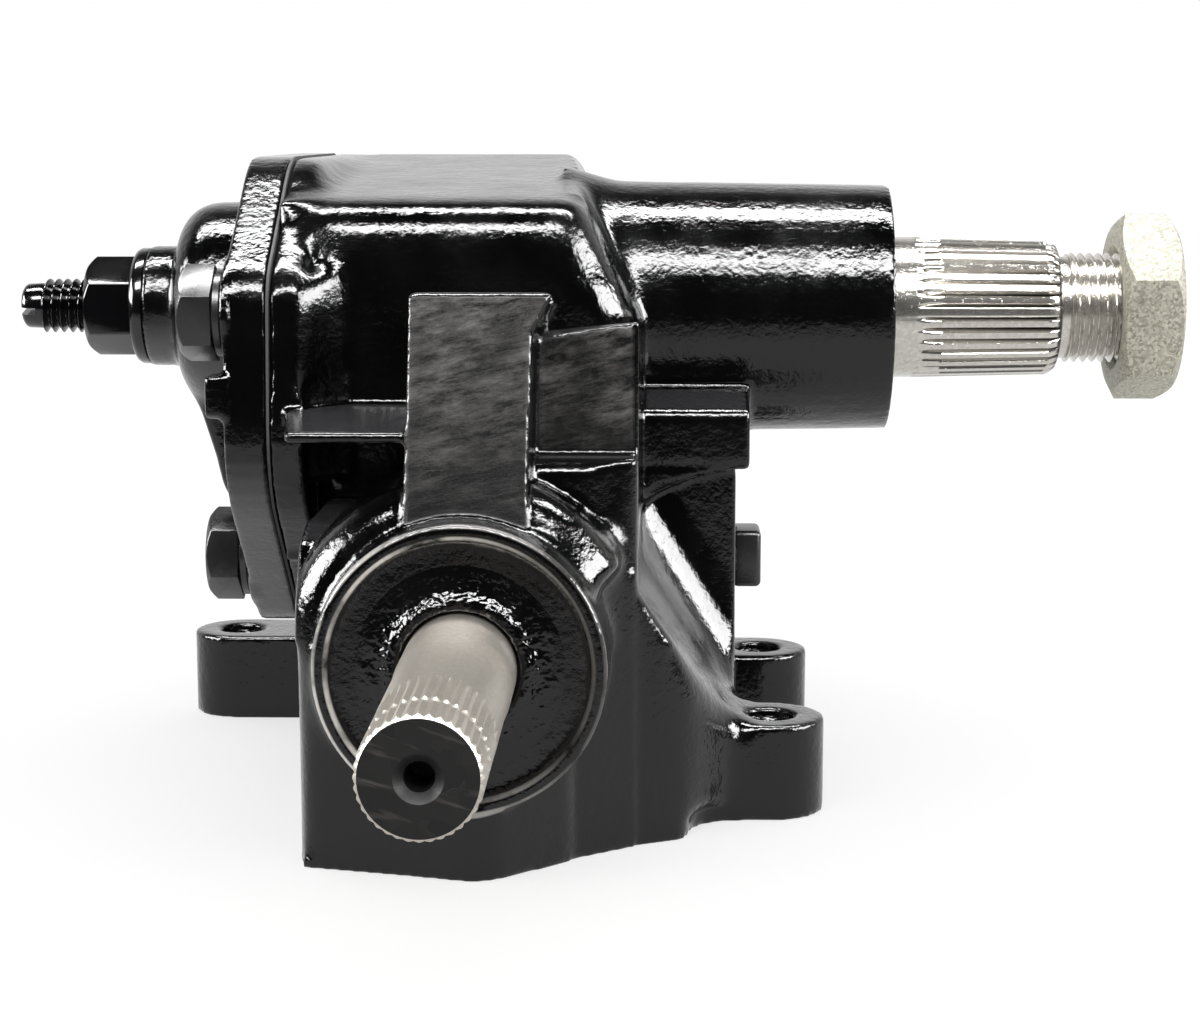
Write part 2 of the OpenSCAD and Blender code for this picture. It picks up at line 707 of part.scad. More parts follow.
module guide_clamp() {
    color(steel) difference() {
        union() {
            box([-5.5, -16, clamp_bottom], [5.5, 16, clamp_bottom + 1.5]);
            box([-9.5, -2.7, clamp_bottom], [9.5, 2.7, 20]);
        }
        at_worm() along_y(-20, 20, nut_r + run_fit);
        for (x = clamp_screw_x) translate([x, 0, 0]) cylinder(h = 22, r = clamp_screw_r + run_fit);
    }
}
module clamp_screws() {
    color(steel) for (x = clamp_screw_x) translate([x, 0, 0]) {
        translate([0, 0, clamp_bottom - 1.6]) cylinder(h = 1.6, r = 3.2);
        translate([0, 0, clamp_bottom - 0.1]) cylinder(h = 21.5 - clamp_bottom, r = clamp_screw_r);
    }
}

// Worm bearings: the cup sits in the casing and the cone turns with the shaft
module bearing_cup(y0, r_out) {
    color(steel) at_worm() ring_y(y0, y0 + bearing_l, r_out - press_gap, r_out - race_t);
}
module bearing_cone(y0, r_in, r_out) {
    color(steel) at_worm() ring_y(y0, y0 + bearing_l, r_out, r_in);
}
module bearing_balls(y0, circle_r, count) {
    color(bright_steel) at_worm() for (i = [0:count - 1]) rotate([0, i * 360 / count, 0])
        translate([circle_r, y0 + bearing_l / 2, 0]) sphere(r = bearing_ball_r, $fn = 24);
}
module bearing_cage(y0, circle_r, count) {
    color(bronze) at_worm() difference() {
        ring_y(y0 + 1.5, y0 + bearing_l - 1.5, circle_r + 0.8, circle_r - 0.8);
        for (i = [0:count - 1]) rotate([0, i * 360 / count, 0])
            translate([circle_r - 3, y0 + bearing_l / 2, 0]) rotate([0, 90, 0])
                cylinder(h = 6, r = bearing_ball_r + 0.1);
    }
}
module front_bearing_cup() { bearing_cup(bearing_front, front_bore_r); }
module rear_bearing_cup() { bearing_cup(bearing_rear, rear_cup_r); }
module front_bearing_cone() {
    bearing_cone(bearing_front, seal_surface_r + press_gap, front_circle_r - bearing_ball_r - 0.05);
}
module rear_bearing_cone() {
    bearing_cone(bearing_rear, core_r + press_gap, rear_circle_r - bearing_ball_r - 0.05);
}
module front_bearing_balls() { bearing_balls(bearing_front, front_circle_r, bearing_count); }
module rear_bearing_balls() { bearing_balls(bearing_rear, rear_circle_r, bearing_count); }
module front_bearing_cage() { bearing_cage(bearing_front, front_circle_r, bearing_count); }
module rear_bearing_cage() { bearing_cage(bearing_rear, rear_circle_r, bearing_count); }

module bearing_adjuster_plug() {
    color(black_paint) at_worm() difference() {
        along_y(tunnel_l + 0.5, plug_end, rear_bore_r - run_fit);
        along_y(tunnel_l - 1, bearing_rear + bearing_l, rear_cup_r);
        along_y(tunnel_l - 1, bearing_rear + bearing_l + 8, 10);
        // Hexagon socket for the key
        translate([0, plug_end - 6, 0]) rotate([-90, 0, 0]) cylinder(h = 7, r = 11, $fn = 6);
    }
}
module adjuster_plug_locknut() {
    color(black_paint) at_worm() difference() {
        rotate([0, 0, 90]) hex_x(barrel_end + 0.1, barrel_end + 8, 56, 0, 0.4, 1.5);
        along_y(barrel_end - 1, barrel_end + 10, rear_bore_r);
    }
}
module filler_plug() {
    half = 5.8;
    color(black_paint) translate([0, 0, fill_z]) {
        yz_slab(rounded([[-half, -half, 1.5], [half, -half, 1.5], [half, half, 1.5], [-half, half, 1.5]]),
                block_right, block_right + 5.8);
        along_x(37, block_right + 0.1, 6.15);
    }
}

gear_housing();
side_cover();
side_cover_gasket();
cover_bolts();
cover_bolt_washers();
adjuster_locknut();
cover_bushing();
inner_pitman_bushing();
outer_pitman_bushing();
pitman_shaft_seal();
input_shaft_seal();
front_bearing_cup();
rear_bearing_cup();
bearing_adjuster_plug();
adjuster_plug_locknut();
filler_plug();
sector_shaft();
pitman_nut();
lash_adjuster_screw();
lash_shim();
input_shaft();
worm();
front_bearing_cone();
rear_bearing_cone();
front_bearing_balls();
rear_bearing_balls();
front_bearing_cage();
rear_bearing_cage();
ball_nut();
front_circuit_balls();
rear_circuit_balls();
return_guides();
guide_clamp();
clamp_screws();
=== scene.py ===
"""Looks of a manual recirculating-ball steering gear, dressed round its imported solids.

X runs along the pitman shaft, -Y along the input shaft and Z up from the mounting plane, in metres.
"""

import json
import math

import bpy
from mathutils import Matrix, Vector


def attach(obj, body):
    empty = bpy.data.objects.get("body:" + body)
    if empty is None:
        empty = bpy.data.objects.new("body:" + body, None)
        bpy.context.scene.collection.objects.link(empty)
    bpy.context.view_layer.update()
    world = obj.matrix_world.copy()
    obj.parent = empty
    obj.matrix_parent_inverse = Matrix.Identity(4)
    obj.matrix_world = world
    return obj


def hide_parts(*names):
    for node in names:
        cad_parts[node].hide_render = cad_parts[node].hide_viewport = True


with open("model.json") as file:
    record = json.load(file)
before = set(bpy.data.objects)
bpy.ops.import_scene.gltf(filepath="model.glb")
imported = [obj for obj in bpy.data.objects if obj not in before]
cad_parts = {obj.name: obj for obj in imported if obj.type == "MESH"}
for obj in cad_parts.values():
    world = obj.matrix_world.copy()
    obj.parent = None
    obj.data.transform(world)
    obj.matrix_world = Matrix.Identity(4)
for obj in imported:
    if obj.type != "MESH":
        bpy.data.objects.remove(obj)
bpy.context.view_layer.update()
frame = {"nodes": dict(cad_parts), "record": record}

MM = 0.001
X_AXIS = Vector((1, 0, 0))
Y_AXIS = Vector((0, 1, 0))
Z_AXIS = Vector((0, 0, 1))

# The photograph's frame and the camera that took it
PHOTO_W = 1200
FOCAL_PX = 2500
SENSOR_MM = 36
CAMERA_AT = Vector((34.4, -510.5, 127.6)) * MM
CAMERA_DOWN = math.radians(8.9)
CAMERA_LEFT = math.radians(1.47)

# Axes of the gear, and the sizes in mm of the parts that are modelled here
WORM_Z = 36.5
SECTOR_Z = 91
PITMAN_AXIS = Vector((0, 0, SECTOR_Z)) * MM
WORM_AXIS = Vector((0, 0, WORM_Z)) * MM
# Foot holes by X and Y, and cover bolts by Y, Z and the turn of their heads in degrees
FOOT_SITES = [(54.5, -50), (54.5, 11.6), (-58.3, 29)]
BOLT_SITES = [(-46, 93, 7), (-22, 43.5, -8), (46, 108, 12)]
# Pitch of the threads on the pitman shaft and the lash adjuster
THREAD_PITCH = 1.81
# A radius past every part, given where no tooth or thread is cut
UNCUT = 1000


# Modelling

def only(piece):
    """Select one piece alone and make it active."""
    bpy.ops.object.select_all(action="DESELECT")
    piece.select_set(True)
    bpy.context.view_layer.objects.active = piece


def apply(piece, kind, **settings):
    """Add a modifier with its settings and apply it."""
    only(piece)
    modifier = piece.modifiers.new(kind.lower(), kind)
    for key, value in settings.items():
        setattr(modifier, key, value)
    bpy.ops.object.modifier_apply(modifier=modifier.name)


def tidy(piece):
    """Merge doubles and turn all faces outwards."""
    only(piece)
    bpy.ops.object.mode_set(mode="EDIT")
    bpy.ops.mesh.select_all(action="SELECT")
    bpy.ops.mesh.remove_doubles(threshold=0.002 * MM)
    bpy.ops.mesh.normals_make_consistent(inside=False)
    bpy.ops.object.mode_set(mode="OBJECT")


def smooth(piece, angle=32):
    only(piece)
    bpy.ops.object.shade_smooth_by_angle(angle=math.radians(angle))


def joined(name, pieces):
    """Join pieces into one object."""
    bpy.ops.object.select_all(action="DESELECT")
    for piece in pieces:
        piece.select_set(True)
    bpy.context.view_layer.objects.active = pieces[0]
    if len(pieces) > 1:
        bpy.ops.object.join()
    pieces[0].name = name
    return pieces[0]


def carve(piece, tool, operation="DIFFERENCE"):
    """Cut a piece with another one, which is used up."""
    apply(piece, "BOOLEAN", operation=operation, object=tool, solver="EXACT")
    bpy.data.objects.remove(tool)
    tidy(piece)
    return piece


def copy_of(node, name):
    """A free copy of a solid's mesh, with its loose triangles merged."""
    piece = bpy.data.objects.new(name, frame["nodes"][node].data.copy())
    bpy.context.scene.collection.objects.link(piece)
    tidy(piece)
    return piece


def turned(name, profile, axis, at, steps=96):
    """Turn a profile of (along, radius) points in mm round an axis, as on a lathe."""
    across = X_AXIS if axis == Z_AXIS else Z_AXIS
    points = [at + axis * (a * MM) + across * (r * MM) for a, r in profile]
    mesh = bpy.data.meshes.new(name)
    mesh.from_pydata(points, [(i, i + 1) for i in range(len(points) - 1)], [])
    piece = bpy.data.objects.new(name, mesh)
    bpy.context.scene.collection.objects.link(piece)
    only(piece)
    bpy.ops.object.mode_set(mode="EDIT")
    bpy.ops.mesh.select_all(action="SELECT")
    bpy.ops.mesh.spin(steps=steps, angle=2 * math.pi, center=at, axis=axis)
    bpy.ops.object.mode_set(mode="OBJECT")
    tidy(piece)
    return piece


def cut_teeth(piece, axis, at, limit):
    """Draw points in to limit(along in mm, turn from 0 to 1), a radius in mm."""
    across = X_AXIS if axis == Z_AXIS else Z_AXIS
    side = axis.cross(across)
    for point in piece.data.vertices:
        offset = point.co - at
        along = offset.dot(axis)
        out = offset - axis * along
        if out.length < 0.01 * MM:
            continue
        turn = math.atan2(out.dot(side), out.dot(across)) / (2 * math.pi) % 1
        radius = min(out.length, limit(along / MM, turn) * MM)
        point.co = at + axis * along + out * (radius / out.length)
    piece.data.update()


def spread(start, end, count):
    return [start + (end - start) * i / count for i in range(count + 1)]


def thread_limit(along, turn, start, end, radius, pitch):
    """Radius left by a 60 degree thread cutter that runs out at the start."""
    if along < start or along > end:
        return UNCUT
    wave = abs((along / pitch - turn) % 1 - 0.5) * 2
    height = 0.6 * pitch
    full = min(1, (along - start) / height)
    # The crest and the root keep small flats
    return radius - full * height * min(1, max(0, 1.15 * wave - 0.1))


def hexagon(name, at, axis, length, flats, turn, chamfers):
    """A hexagonal bar whose corners are turned off at its low and high end."""
    corner = flats / math.sqrt(3)
    low, high = chamfers
    bpy.ops.object.select_all(action="DESELECT")
    bpy.ops.mesh.primitive_cylinder_add(vertices=6, radius=corner * MM, depth=length * MM)
    piece = bpy.context.active_object
    piece.name = name
    piece.rotation_euler = (0, 0, math.radians(turn + 30))
    bpy.ops.object.transform_apply(location=False, rotation=True, scale=False)
    piece.rotation_euler = Z_AXIS.rotation_difference(axis).to_euler()
    piece.location = at + axis * (length / 2 * MM)
    bpy.ops.object.transform_apply(location=True, rotation=True, scale=False)
    # The chamfers start a little inside the flats
    face = flats / 2 * 0.97
    profile = [(0, 0), (0, face if low else corner + 1), (low, corner + 0.02)]
    profile += [(length - high, corner + 0.02), (length, face if high else corner + 1), (length, 0)]
    return carve(piece, turned("envelope", profile, axis, at), "INTERSECT")


def block(centre, size, rotation=(0, 0, 0)):
    """A box from its centre and size in mm and its turns in degrees."""
    bpy.ops.object.select_all(action="DESELECT")
    bpy.ops.mesh.primitive_cube_add(size=1, location=Vector(centre) * MM, scale=Vector(size) * MM,
                                    rotation=[math.radians(a) for a in rotation])
    piece = bpy.context.active_object
    bpy.ops.object.transform_apply(location=True, rotation=True, scale=True)
    return piece


def break_edges(piece, width):
    """Round off the sharp edges of a piece by a width in mm."""
    apply(piece, "BEVEL", width=width * MM, segments=2, limit_method="ANGLE",
          angle_limit=math.radians(40))


def finish(piece, body, slot, material, *nodes):
    """Paint a finished piece and let it stand for its solids."""
    piece.data.materials.clear()
    piece.data.materials.append(material)
    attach(piece, body)
    if nodes:
        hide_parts(*nodes)


# Materials

# Specular level of the paint on the castings
CAST_SHEEN = 0.37


def srgb(code):
    """A linear colour from an sRGB hex value."""
    parts = [int(code[i:i + 2], 16) / 255 for i in (1, 3, 5)]
    return [c / 12.92 if c <= 0.04045 else ((c + 0.055) / 1.055) ** 2.4 for c in parts] + [1]


def add(tree, kind, inputs=None, **settings):
    """Add a shader node with its settings, values and links.

    A colour Mix node has its factor at input 0, its colours at 6 and 7 and its result at output 2.
    """
    made = tree.nodes.new("ShaderNode" + kind)
    for key, value in settings.items():
        setattr(made, key, value)
    for key, value in (inputs or {}).items():
        if isinstance(value, bpy.types.NodeSocket):
            tree.links.new(value, made.inputs[key])
        else:
            made.inputs[key].default_value = value
    return made


def new_material(name):
    material = bpy.data.materials.new(name)
    material.use_nodes = True
    tree = material.node_tree
    tree.nodes.clear()
    shader = add(tree, "BsdfPrincipled")
    add(tree, "OutputMaterial", {"Surface": shader.outputs["BSDF"]})
    return material, tree, shader, add(tree, "TexCoord").outputs["Object"]


def per_mm(size):
    """Noise scale that gives features of about this many millimetres."""
    return 1 / (size * MM)


def coating(name, colour, bumps, shine, dust=None, painted_floor_reflection=None):
    """Paint on metal: bumps are (size, height) in mm, shine the roughness from and to.

    Dust lies on level faces, and faces that look down get a paler colour, a painted reflection of the floor.
    """
    material, tree, shader, place = new_material(name)
    bent = {}
    for size, height in bumps:
        grain = add(tree, "TexNoise", {"Vector": place, "Scale": per_mm(size), "Detail": 3.0,
                                       "Roughness": 0.6})
        bump = add(tree, "Bump", {"Height": grain.outputs["Fac"], "Distance": height * MM, **bent})
        bent = {"Normal": bump.outputs["Normal"]}
    patch = add(tree, "TexNoise", {"Vector": place, "Scale": per_mm(12), "Detail": 5.0, "Roughness": 0.6})
    gloss = add(tree, "MapRange", {"Value": patch.outputs["Fac"], "From Min": 0.3, "From Max": 0.7,
                                   "To Min": shine[0], "To Max": shine[1]})
    tree.links.new(gloss.outputs["Result"], shader.inputs["Roughness"])
    tree.links.new(bent["Normal"], shader.inputs["Normal"])
    shader.inputs["Base Color"].default_value = srgb(colour)
    if dust:
        facing = add(tree, "SeparateXYZ", {"Vector": add(tree, "NewGeometry").outputs["Normal"]})
        level = add(tree, "MapRange", {"Value": facing.outputs["Z"], "From Min": 0.9, "From Max": 0.99})
        # Faces that look down are painted paler: a painted reflection of the white floor
        under = add(tree, "MapRange", {"Value": facing.outputs["Z"], "From Min": -0.2, "From Max": -0.6})
        paler_colour = add(tree, "Mix", {0: under.outputs["Result"], 6: srgb(colour), 7: srgb(painted_floor_reflection)}, data_type="RGBA")
        cover = add(tree, "Mix", {0: level.outputs["Result"], 6: paler_colour.outputs[2], 7: srgb(dust)},
                    data_type="RGBA")
        tree.links.new(cover.outputs[2], shader.inputs["Base Color"])
        shader.inputs["Specular IOR Level"].default_value = CAST_SHEEN
    return material


def product(tree, *values):
    result = values[0]
    for value in values[1:]:
        result = add(tree, "Math", {0: result, 1: value}, operation="MULTIPLY").outputs["Value"]
    return result


def between(tree, value, low, high, soft):
    """1 where a value lies between two limits, in mm, with soft edges."""
    rise = add(tree, "MapRange", {"Value": value, "From Min": (low - soft) * MM,
                                  "From Max": (low + soft) * MM})
    fall = add(tree, "MapRange", {"Value": value, "From Min": (high + soft) * MM,
                                  "From Max": (high - soft) * MM})
    return product(tree, rise.outputs["Result"], fall.outputs["Result"])


# Places on the front of the housing in mm, most by their low and high limit; radii are from the worm's axis
PAD_LEFT = -9.4
PAD_RIGHT = 11.4
PAD_ASIDE = 20
PAD_Y = (-95, -84.5)
PAD_Z = (55, 99)
PAD_RADIUS = (25.6, 90)
PAD_FLARE_FROM = 93
PAD_FLARE = 3.6
WING_X = (12.6, 29)
WING_Y = (-76, -73.5)
WING_Z = (71.5, 92.6)
RIM_RADII = [(24.5, 25.4), (22.4, 23.1)]
RIM_Y = (-100, -98)
BLISTER_RADIUS = (8, 16)
BLISTER_Y = (-102, -95.5)


def radius_from_worm(tree, place):
    """Distance from the worm's axis."""
    out = add(tree, "VectorMath", {0: place, 1: (0, 0, -WORM_Z * MM)}, operation="ADD")
    flat = add(tree, "VectorMath", {0: out.outputs["Vector"], 1: (1, 0, 1)}, operation="MULTIPLY")
    return add(tree, "VectorMath", {0: flat.outputs["Vector"]}, operation="LENGTH").outputs["Value"]


def brushed_faces(tree, x, y, z, radius):
    """1 on the front of the pad, which flares to the right at its top, and on the front of the wing."""
    facing = add(tree, "SeparateXYZ", {"Vector": add(tree, "NewGeometry").outputs["Normal"]})
    ahead = add(tree, "MapRange", {"Value": facing.outputs["Y"], "From Min": -0.8, "From Max": -0.93})
    front = ahead.outputs["Result"]
    flare = add(tree, "MapRange", {"Value": z, "From Min": PAD_FLARE_FROM * MM, "From Max": PAD_Z[1] * MM,
                                   "To Max": PAD_FLARE * MM})
    right = add(tree, "Math", {0: x, 1: flare.outputs["Result"]}, operation="SUBTRACT").outputs["Value"]
    pad = product(tree, between(tree, x, PAD_LEFT, PAD_ASIDE, 0.5),
                  between(tree, right, -PAD_ASIDE, PAD_RIGHT, 0.5), between(tree, y, *PAD_Y, 0.3),
                  between(tree, z, *PAD_Z, 0.3), between(tree, radius, *PAD_RADIUS, 0.2), front)
    wing = product(tree, between(tree, x, *WING_X, 0.5), between(tree, y, *WING_Y, 0.3),
                   between(tree, z, *WING_Z, 0.6), front)
    return add(tree, "Math", {0: pad, 1: wing}, operation="MAXIMUM").outputs["Value"]


def brush_strokes(tree, place):
    """Noise drawn out along the slanting strokes of a brush."""
    slant = add(tree, "Mapping", {"Vector": place, "Rotation": (0, math.radians(-14), 0), "Scale": (4, 1, 1)},
                vector_type="TEXTURE")
    return add(tree, "TexNoise", {"Vector": slant.outputs["Vector"], "Scale": per_mm(1.8), "Detail": 10.0,
                                  "Roughness": 0.8}).outputs["Fac"]


def thin_paint(tree, z, strokes, patches):
    """Pale streaks where the brush left the paint thin, in patches and more of them higher up."""
    streak = add(tree, "MapRange", {"Value": strokes, "From Min": 0.4, "From Max": 0.7})
    spot = add(tree, "MapRange", {"Value": patches, "From Min": 0.35, "From Max": 0.7, "To Min": 0.2})
    higher = add(tree, "MapRange", {"Value": z, "From Min": 60 * MM, "From Max": 98 * MM, "To Min": 0.1})
    pale = product(tree, streak.outputs["Result"], spot.outputs["Result"], higher.outputs["Result"])
    return add(tree, "Mix", {0: pale, 6: srgb("#0a0a0a"), 7: srgb("#a19e9b")}, data_type="RGBA").outputs[2]


def painted_rim_highlight(tree, x, y, radius, patches):
    """1 for a painted highlight along the two rims of the ring, in patches and weakest on the right."""
    outer, inner = [between(tree, radius, low, high, 0.15) for low, high in RIM_RADII]
    rims = add(tree, "Math", {0: outer, 1: inner}, operation="MAXIMUM").outputs["Value"]
    left = add(tree, "MapRange", {"Value": x, "From Min": 18 * MM, "From Max": -16 * MM, "To Min": 0.12})
    in_patches = add(tree, "MapRange", {"Value": patches, "From Min": 0.3, "From Max": 0.5})
    return product(tree, rims, between(tree, y, *RIM_Y, 0.3), left.outputs["Result"],
                   in_patches.outputs["Result"])


def front_details(material):
    """Pad and wing brushed thin over ground iron, a painted highlight on the rims, and blistered paint on the
    collar.
    """
    tree = material.node_tree
    shader = tree.nodes["Principled BSDF"]
    place = add(tree, "TexCoord").outputs["Object"]
    x, y, z = add(tree, "SeparateXYZ", {"Vector": place}).outputs
    radius = radius_from_worm(tree, place)
    mask = brushed_faces(tree, x, y, z, radius)
    strokes = brush_strokes(tree, place)
    patches = add(tree, "TexNoise", {"Vector": place, "Scale": per_mm(9), "Detail": 5.0}).outputs["Fac"]
    paint = shader.inputs["Base Color"].links[0].from_socket
    paler_colour = thin_paint(tree, z, strokes, patches)
    brushed = add(tree, "Mix", {0: mask, 6: paint, 7: paler_colour}, data_type="RGBA")
    metal_look = painted_rim_highlight(tree, x, y, radius, patches)
    # The rims get a pale steel colour as a painted highlight, brightest on the left
    colour = add(tree, "Mix", {0: metal_look, 6: brushed.outputs[2], 7: srgb("#c4c1bc")}, data_type="RGBA")
    gloss = shader.inputs["Roughness"].links[0].from_socket
    dull = add(tree, "Mix", {"Factor": mask, "A": gloss, "B": 0.4}, data_type="FLOAT")
    sheen = add(tree, "Mix", {"Factor": mask, "A": CAST_SHEEN, "B": 0.07}, data_type="FLOAT")
    boiled = product(tree, between(tree, radius, *BLISTER_RADIUS, 2), between(tree, y, *BLISTER_Y, 0.5))
    worms = add(tree, "TexNoise", {"Vector": place, "Scale": per_mm(2.6), "Detail": 2.0})
    height = add(tree, "Math", {0: product(tree, worms.outputs["Fac"], boiled), 1: 0.9}, operation="MULTIPLY")
    rough = add(tree, "Math", {0: product(tree, strokes, mask), 1: 0.25, 2: height.outputs["Value"]},
                operation="MULTIPLY_ADD")
    cast = shader.inputs["Normal"].links[0].from_socket
    bump = add(tree, "Bump", {"Height": rough.outputs["Value"], "Distance": MM, "Normal": cast})
    tree.links.new(colour.outputs[2], shader.inputs["Base Color"])
    tree.links.new(dull.outputs["Result"], shader.inputs["Roughness"])
    tree.links.new(sheen.outputs["Result"], shader.inputs["Specular IOR Level"])
    tree.links.new(bump.outputs["Normal"], shader.inputs["Normal"])


def metal(name, pale, dark, size, roughness, metal_look=1.0, bump=0.0, sheen=0.5):
    """Metal that varies between two colours in specks of a size in mm; metal_look is its metallic share."""
    material, tree, shader, place = new_material(name)
    speck = add(tree, "TexVoronoi", {"Vector": place, "Scale": per_mm(size)})
    shade = add(tree, "Mix", {0: speck.outputs["Color"], 6: srgb(dark), 7: srgb(pale)}, data_type="RGBA")
    facet = add(tree, "Bump", {"Height": speck.outputs["Color"], "Distance": bump * MM})
    tree.links.new(shade.outputs[2], shader.inputs["Base Color"])
    tree.links.new(facet.outputs["Normal"], shader.inputs["Normal"])
    shader.inputs["Metallic"].default_value = metal_look
    shader.inputs["Roughness"].default_value = roughness
    shader.inputs["Specular IOR Level"].default_value = sheen
    return material


def splined_steel():
    # Bright broached steel: mirror-like lands, with painted shade darkening the bottom of the grooves
    material = metal("bright_broached_steel", "#c6c3bd", "#b2aea7", 0.6, 0.2, 0.85, 0.01)
    tree = material.node_tree
    shader = tree.nodes["Principled BSDF"]
    place = add(tree, "TexCoord").outputs["Object"]
    out = add(tree, "VectorMath", {0: place, 1: (0, 0, SECTOR_Z * MM)}, operation="SUBTRACT")
    # Distance from the axis, made up a little for the taper of the spline
    flat = add(tree, "VectorMath", {0: out.outputs["Vector"], 1: (0.0235, 1, 1)}, operation="MULTIPLY")
    radius = add(tree, "VectorMath", {0: flat.outputs["Vector"]}, operation="LENGTH")
    depth = add(tree, "MapRange", {"Value": radius.outputs["Value"], "From Min": 12.9 * MM,
                                   "From Max": 13.5 * MM})
    far = add(tree, "MapRange", {"Value": add(tree, "SeparateXYZ", {"Vector": place}).outputs["X"],
                                 "From Min": 113 * MM, "From Max": 114 * MM})
    land = add(tree, "Math", {0: depth.outputs["Result"], 1: far.outputs["Result"]}, operation="MAXIMUM")
    base = shader.inputs["Base Color"].links[0].from_socket
    # Painted shade: the bottom of each groove is coloured dark
    painted_groove_shade = add(tree, "Mix", {0: land.outputs["Value"], 6: srgb("#4a4641"), 7: base}, data_type="RGBA")
    tree.links.new(painted_groove_shade.outputs[2], shader.inputs["Base Color"])
    return material


def sawn_steel():
    # Sawn end of the shaft: dull, oxidised and crossed by paler scratches
    material = metal("oxidised_sawn_steel", "#1c1a19", "#0f0e0e", 2.5, 0.5, 0.0, 0.02, 0.2)
    tree = material.node_tree
    shader = tree.nodes["Principled BSDF"]
    place = add(tree, "TexCoord").outputs["Object"]
    slant = add(tree, "Mapping", {"Vector": place, "Rotation": (0, math.radians(18), 0), "Scale": (7, 1, 1)},
                vector_type="TEXTURE")
    scratch = add(tree, "TexNoise", {"Vector": slant.outputs["Vector"], "Scale": per_mm(1.6), "Detail": 6.0})
    pale = add(tree, "MapRange", {"Value": scratch.outputs["Fac"], "From Min": 0.6, "From Max": 0.78})
    base = shader.inputs["Base Color"].links[0].from_socket
    marked = add(tree, "Mix", {0: pale.outputs["Result"], 6: base, 7: srgb("#4b4845")}, data_type="RGBA")
    tree.links.new(marked.outputs[2], shader.inputs["Base Color"])
    return material


# Thick gloss black over sand-cast iron: near black, its sharp highlights broken up by the grain below
CAST_SKIN = [(6, 0.2), (1.4, 0.12)]
# Its faces that look down get a paler grey, a painted reflection of the floor
enamel = coating("gloss_enamel_on_sand_cast_iron", "#070708", CAST_SKIN, (0.05, 0.2), "#4c4c4e", "#4c4b4c")
front_enamel = coating("gloss_enamel_with_brushed_pad", "#070708", CAST_SKIN, (0.05, 0.2), "#4c4c4e",
                       "#070708")
front_details(front_enamel)
# Thinner paint on forged heads: greyer and less sharp
fastener_paint = coating("semi_gloss_enamel_on_forged_steel", "#1d1d1f", [(4, 0.06), (0.8, 0.02)],
                         (0.22, 0.34))
# Gloss black on the lock nut and screw: flat dark faces with a clean rim light
nut_paint = coating("gloss_enamel_on_turned_steel", "#08080a", [(5, 0.05), (1, 0.01)], (0.08, 0.16))
# Satin grey with no grain to speak of
ground_steel = metal("satin_ground_steel", "#aca69e", "#9c968d", 0.5, 0.36, 0.7, 0.005)
end_steel = sawn_steel()
bright_steel = splined_steel()
# Coarse zinc crystals that sparkle on a pale warm ground
zinc = metal("hot_dipped_zinc_on_forged_steel", "#bbb8a7", "#747165", 0.5, 0.5, 0.15, 0.06, 0.35)
# Inner parts: even bright steel, warm bronze, matt black rubber and dull dark paper
hardened = metal("hardened_ground_steel", "#bcbcbc", "#b0b0b0", 0.6, 0.25, 1.0, 0.002)
bronze = metal("machined_bearing_bronze", "#b98d4f", "#a87c40", 0.6, 0.3, 1.0, 0.004)
rubber = coating("moulded_seal_rubber", "#1b1b1b", [(3, 0.02), (0.5, 0.01)], (0.5, 0.65))
paper = coating("pressed_gasket_paper", "#262523", [(1.5, 0.03), (0.3, 0.02)], (0.7, 0.9))
INNER_LOOKS = {"inner_steel": hardened, "bronze": bronze, "seal_rubber": rubber, "gasket_paper": paper,
               "fastener_paint": fastener_paint}

# Castings

CAST_GRID = 0.65 * MM
MOULD_PASSES = 4
MOST_TRIANGLES = 190000
# Width in mm over which a blend fades in from the walls of its box
BLEND_FADE = 3


def soften(piece, zones, passes):
    """Blend corners inside boxes, given by their low and high corner in mm, as poured metal fills them."""
    group = piece.vertex_groups.new(name="blend")
    for point in piece.data.vertices:
        place = point.co / MM
        weight = max(min(min(c - a, b - c) for a, b, c in zip(low, high, place)) for low, high in zones)
        if weight > 0:
            group.add([point.index], min(1, weight / BLEND_FADE), "REPLACE")
    apply(piece, "SMOOTH", factor=0.5, iterations=passes, vertex_group=group.name)


def casting(node, slot, material, blends, fills=()):
    """Round every edge of a solid as a sand mould does; blends gives the zones for each number of passes."""
    piece = joined(node + "_casting", [copy_of(node, node + "_copy"), *fills])
    apply(piece, "REMESH", mode="VOXEL", voxel_size=CAST_GRID)
    apply(piece, "SMOOTH", factor=0.5, iterations=MOULD_PASSES)
    for passes, zones in blends.items():
        soften(piece, zones, passes)
    apply(piece, "DECIMATE", ratio=min(1, MOST_TRIANGLES / (2 * len(piece.data.polygons))))
    smooth(piece, 180)
    finish(piece, "housing", slot, material, node)


# Metal that fills the corner between the toe and the front foot, cut off along the ramp
RAMP_SLOPE = 57.8
toe_fill = carve(block((38.9, -63.8, 19), (15.4, 10, 30), (0, 0, 54.2)),
                 block((65.1, -64, 46.2), (60, 60, 60), (0, RAMP_SLOPE, 0)))

# Zones of the castings by their low and high corner in mm, blended a little
BOSS_ROOT = ((12, -40, 79), (40, 40, 119))
RAMP = ((29, -78, 14), (50, -26, 60))
COVER_WEB = ((-66, -24, 46), (-47, 24, 84))
# Zones blended a lot
FLANGE_VALLEY = ((-38.2, -60, 78), (-12, -36, 126))
FLANGE_TOP = ((-38, -40, 108), (-27, 60, 128))
CHAMBER_EDGE = ((-32, -54, 98), (30, -30, 126))
TOE = ((33, -82, 3), (52, -54, 36))
NOSE_END = ((11, -95, 36), (29, -76, 60))
CHIN_CORNER = ((-32, -98, 1), (-20, -86, 40))
